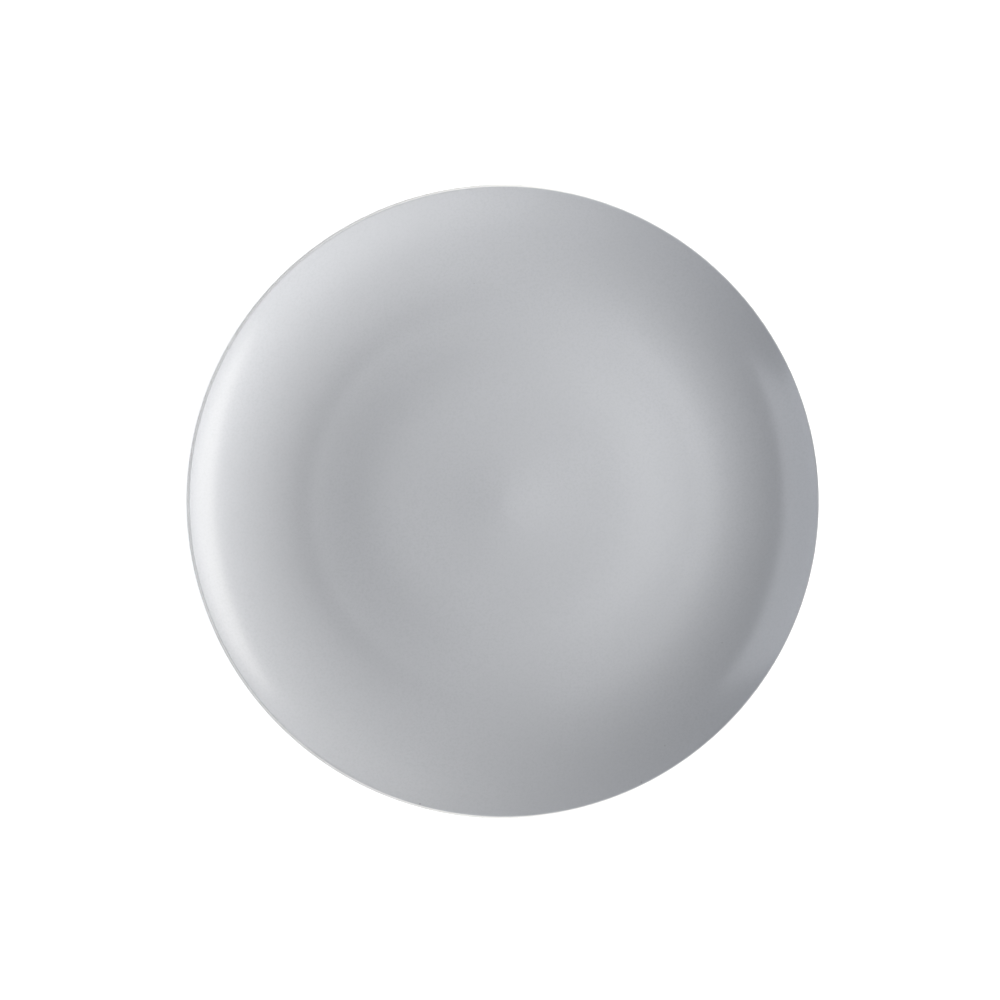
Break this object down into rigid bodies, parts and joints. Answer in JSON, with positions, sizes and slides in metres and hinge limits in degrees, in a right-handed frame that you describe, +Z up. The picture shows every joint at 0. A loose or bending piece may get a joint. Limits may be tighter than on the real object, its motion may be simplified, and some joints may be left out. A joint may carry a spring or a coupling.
{
  "type": "coupe dinner plate",
  "caption": "Round coupe dinner plate: a broad floor that swells by about 2.5 mm to its centre, sweeping up in one curve to a thin rounded lip, on a low bare-edged foot ring, in a smooth pale grey glaze.",
  "frame": {"origin": "centre of the foot ring, on the surface that the plate stands on", "axes": "+Z up along the plate's axis of revolution; X and Y lie in the table and are free, because the plate is round"},
  "size_m": [0.27, 0.27, 0.027],
  "materials": {
    "clay": "bare fired clay, matte, worn smooth on the bearing face",
    "glaze": "smooth opaque glaze, soft gloss"
  },
  "bodies": {
    "root": {"clay_body": "clay", "glaze_coat": "glaze", "base_glaze": "glaze"}
  },
  "joints": []
}
